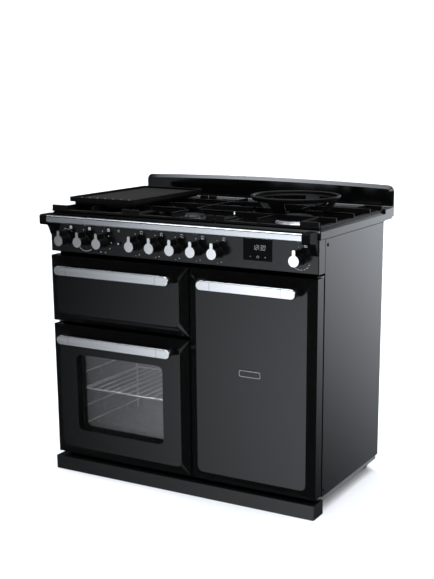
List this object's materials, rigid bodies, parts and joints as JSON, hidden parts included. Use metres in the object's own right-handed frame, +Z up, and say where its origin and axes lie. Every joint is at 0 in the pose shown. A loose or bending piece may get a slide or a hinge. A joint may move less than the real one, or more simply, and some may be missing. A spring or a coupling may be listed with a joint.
{
  "type": "range cooker",
  "caption": "Freestanding range cooker with a gas hotplate, griddle, wok ring, glide-out grill, windowed oven, tall oven, bar handles, hand rail and rear upstand.",
  "frame": {"origin": "middle of the footprint, on the floor", "axes": "+X to the cooker's right as seen from the front, +Y to the rear, +Z up"},
  "size_m": [1, 0.652, 0.9935],
  "materials": {
    "gloss_enamel": "high gloss black vitreous enamel",
    "side_enamel": "satin black baked enamel",
    "plated_steel": "zinc plated sheet, satin",
    "oven_enamel": "speckled dark grey oven enamel, semi-gloss",
    "bright_steel": "brushed stainless steel, satin",
    "cast_iron": "matt black enamelled cast iron",
    "cap_enamel": "matt black enamel",
    "burner_metal": "die-cast aluminium, matt",
    "pipe_steel": "mild steel tube, dull",
    "knob_metal": "satin bright face over a black body",
    "black_plastic": "matt black moulded plastic",
    "door_glass": "dark tinted oven glass, polished",
    "dark_glass": "smoked display window, polished",
    "seal_rubber": "matt black silicone gasket"
  },
  "bodies": {
    "cabinet": {"base_frame": "plated_steel", "plinth": "gloss_enamel", "levelling_feet": "plated_steel", "roller_brackets": "plated_steel", "side_panels": "side_enamel", "back_cover": "plated_steel", "front_frame": "plated_steel", "hinge_brackets": "plated_steel", "door_seals": "seal_rubber", "hotplate": "gloss_enamel", "upstand": "gloss_enamel", "control_panel": "gloss_enamel", "handrail": "bright_steel", "rail_brackets": "bright_steel", "clock_glass": "dark_glass", "control_units": "black_plastic", "gas_taps": "burner_metal", "gas_manifold": "pipe_steel", "burner_cups": "burner_metal", "burner_heads": "burner_metal", "burner_caps": "cap_enamel", "grill_chamber": "oven_enamel", "heating_elements": "pipe_steel", "left_oven_cavity": "oven_enamel", "right_oven_cavity": "oven_enamel", "shelf_ladders": "bright_steel", "oven_shelves": "bright_steel", "fan_covers": "oven_enamel", "fan_motors": "pipe_steel", "terminal_cover": "plated_steel"},
    "grill": {"grill_front": "gloss_enamel", "grill_handle": "bright_steel", "grill_carriage": "plated_steel", "grill_pan": "oven_enamel"},
    "left_oven_door": {"left_door": "gloss_enamel", "left_door_glass": "door_glass", "left_door_liner": "oven_enamel", "left_door_handle": "bright_steel"},
    "right_oven_door": {"right_door": "gloss_enamel", "right_door_liner": "oven_enamel", "right_door_handle": "bright_steel"},
    "knob_grill": {"knob_grill": "knob_metal"},
    "knob_left_oven_mode": {"knob_left_oven_mode": "knob_metal"},
    "knob_left_oven_heat": {"knob_left_oven_heat": "knob_metal"},
    "knob_left_rear_burner": {"knob_left_rear_burner": "knob_metal"},
    "knob_left_front_burner": {"knob_left_front_burner": "knob_metal"},
    "knob_centre_front_burner": {"knob_centre_front_burner": "knob_metal"},
    "knob_centre_rear_burner": {"knob_centre_rear_burner": "knob_metal"},
    "knob_wok_burner": {"knob_wok_burner": "knob_metal"},
    "knob_right_oven_heat": {"knob_right_oven_heat": "knob_metal"},
    "light_button": {"light_button": "black_plastic"},
    "roller_left": {"roller_left": "black_plastic"},
    "roller_right": {"roller_right": "black_plastic"},
    "pan_support_left": {"pan_support_left": "cast_iron"},
    "pan_support_centre": {"pan_support_centre": "cast_iron"},
    "pan_support_right": {"pan_support_right": "cast_iron"},
    "griddle": {"griddle": "cast_iron"},
    "wok_ring": {"wok_ring": "cast_iron"},
    "fan_left": {"fan_left": "burner_metal"},
    "fan_right": {"fan_right": "burner_metal"}
  },
  "joints": [
    {"name": "grill_slide", "type": "slide", "parent": "cabinet", "child": "grill", "axis": [0, -1, 0], "range_m": [0, 0.3]},
    {"name": "left_door_hinge", "type": "hinge", "parent": "cabinet", "child": "left_oven_door", "pos_m": [-0.49, -0.237, 0.29], "axis": [0, 0, -1], "range_deg": [0, 105]},
    {"name": "right_door_hinge", "type": "hinge", "parent": "cabinet", "child": "right_oven_door", "pos_m": [0.49, -0.237, 0.409], "axis": [0, 0, 1], "range_deg": [0, 105]},
    {"name": "knob_grill_turn", "type": "hinge", "parent": "cabinet", "child": "knob_grill", "pos_m": [-0.43, -0.267, 0.8133], "axis": [0, -1, 0], "range_deg": [-250, 0]},
    {"name": "knob_left_oven_mode_turn", "type": "hinge", "parent": "cabinet", "child": "knob_left_oven_mode", "pos_m": [-0.3536, -0.267, 0.8133], "axis": [0, -1, 0], "continuous": true},
    {"name": "knob_left_oven_heat_turn", "type": "hinge", "parent": "cabinet", "child": "knob_left_oven_heat", "pos_m": [-0.2772, -0.267, 0.8133], "axis": [0, -1, 0], "range_deg": [-250, 0]},
    {"name": "knob_left_rear_burner_turn", "type": "hinge", "parent": "cabinet", "child": "knob_left_rear_burner", "pos_m": [-0.1485, -0.267, 0.8133], "axis": [0, -1, 0], "range_deg": [0, 210]},
    {"name": "knob_left_front_burner_turn", "type": "hinge", "parent": "cabinet", "child": "knob_left_front_burner", "pos_m": [-0.0721, -0.267, 0.8133], "axis": [0, -1, 0], "range_deg": [0, 210]},
    {"name": "knob_centre_front_burner_turn", "type": "hinge", "parent": "cabinet", "child": "knob_centre_front_burner", "pos_m": [0.0043, -0.267, 0.8133], "axis": [0, -1, 0], "range_deg": [0, 210]},
    {"name": "knob_centre_rear_burner_turn", "type": "hinge", "parent": "cabinet", "child": "knob_centre_rear_burner", "pos_m": [0.0807, -0.267, 0.8133], "axis": [0, -1, 0], "range_deg": [0, 210]},
    {"name": "knob_wok_burner_turn", "type": "hinge", "parent": "cabinet", "child": "knob_wok_burner", "pos_m": [0.1571, -0.267, 0.8133], "axis": [0, -1, 0], "range_deg": [0, 210]},
    {"name": "knob_right_oven_heat_turn", "type": "hinge", "parent": "cabinet", "child": "knob_right_oven_heat", "pos_m": [0.438, -0.267, 0.8133], "axis": [0, -1, 0], "range_deg": [-250, 0]},
    {"name": "light_button_push", "type": "slide", "parent": "cabinet", "child": "light_button", "axis": [0, 1, 0], "range_m": [0, 0.003], "stiffness_N_per_m": 400, "springref_m": -0.0005},
    {"name": "roller_left_roll", "type": "hinge", "parent": "cabinet", "child": "roller_left", "pos_m": [-0.45, 0.227, 0.025], "axis": [1, 0, 0], "continuous": true},
    {"name": "roller_right_roll", "type": "hinge", "parent": "cabinet", "child": "roller_right", "pos_m": [0.45, 0.227, 0.025], "axis": [1, 0, 0], "continuous": true},
    {"name": "pan_support_left_lift", "type": "slide", "parent": "cabinet", "child": "pan_support_left", "axis": [0, 0, 1], "range_m": [0, 0.12]},
    {"name": "pan_support_centre_lift", "type": "slide", "parent": "cabinet", "child": "pan_support_centre", "axis": [0, 0, 1], "range_m": [0, 0.12]},
    {"name": "pan_support_right_lift", "type": "slide", "parent": "cabinet", "child": "pan_support_right", "axis": [0, 0, 1], "range_m": [0, 0.12]},
    {"name": "griddle_lift", "type": "slide", "parent": "pan_support_left", "child": "griddle", "axis": [0, 0, 1], "range_m": [0, 0.15]},
    {"name": "wok_ring_lift", "type": "slide", "parent": "pan_support_right", "child": "wok_ring", "axis": [0, 0, 1], "range_m": [0, 0.15]},
    {"name": "fan_left_spin", "type": "hinge", "parent": "cabinet", "child": "fan_left", "pos_m": [-0.225, 0.173, 0.294], "axis": [0, -1, 0], "continuous": true},
    {"name": "fan_right_spin", "type": "hinge", "parent": "cabinet", "child": "fan_right", "pos_m": [0.2745, 0.173, 0.4065], "axis": [0, -1, 0], "continuous": true}
  ]
}
